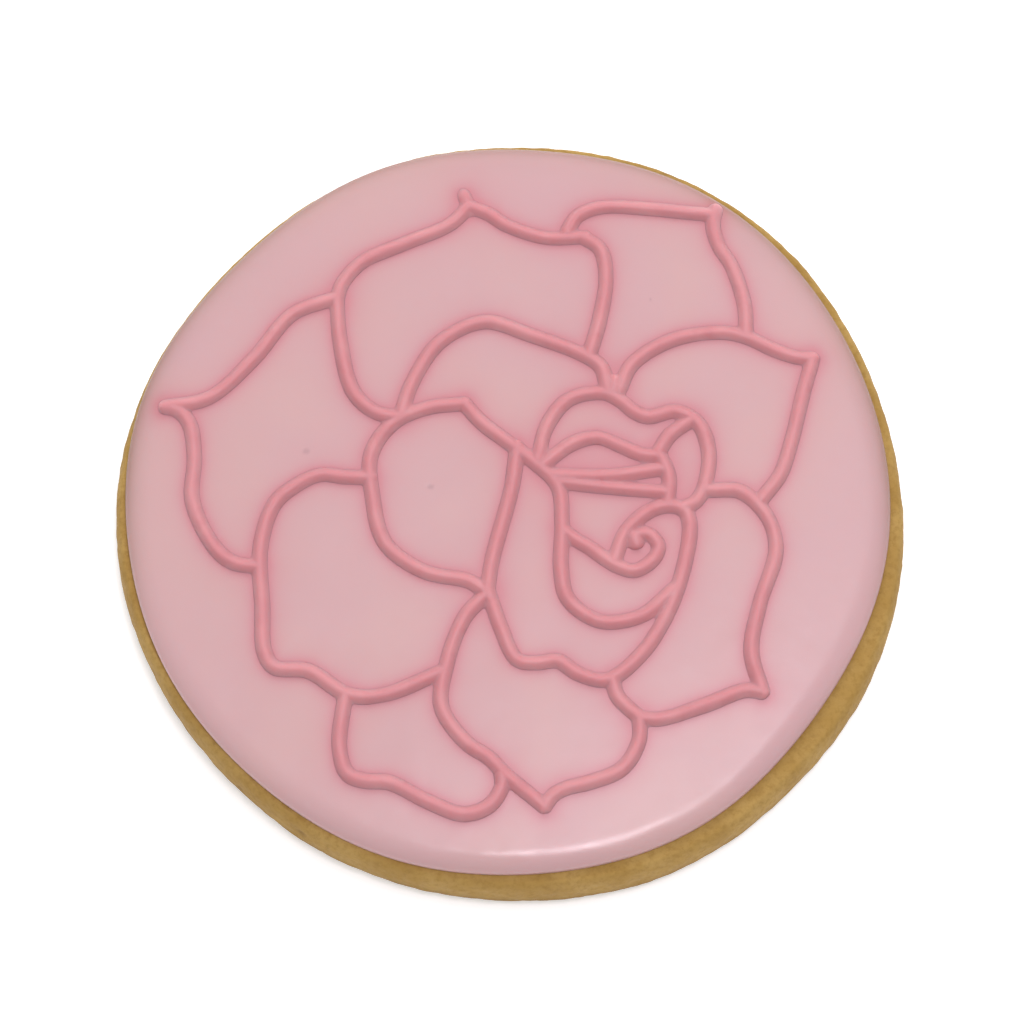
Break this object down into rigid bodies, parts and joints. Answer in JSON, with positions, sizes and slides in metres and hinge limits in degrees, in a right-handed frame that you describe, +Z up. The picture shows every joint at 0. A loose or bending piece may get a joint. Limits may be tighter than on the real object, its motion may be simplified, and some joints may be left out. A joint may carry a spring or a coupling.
{
  "type": "iced biscuit",
  "caption": "Round baked biscuit topped with a layer of pale pink icing and a piped open rose in a deeper pink.",
  "frame": {"origin": "centre of the flat underside, where the biscuit rests", "axes": "+Z up through the icing, +Y towards the top of the rose, +X to its right"},
  "size_m": [0.078, 0.0781, 0.0088],
  "materials": {
    "biscuit": "baked crumb, matt and slightly grainy",
    "icing": "set royal icing, smooth with a soft sheen; the piped lines are a deeper pink"
  },
  "bodies": {
    "root": {"biscuit": "biscuit", "icing": "icing"}
  },
  "joints": []
}
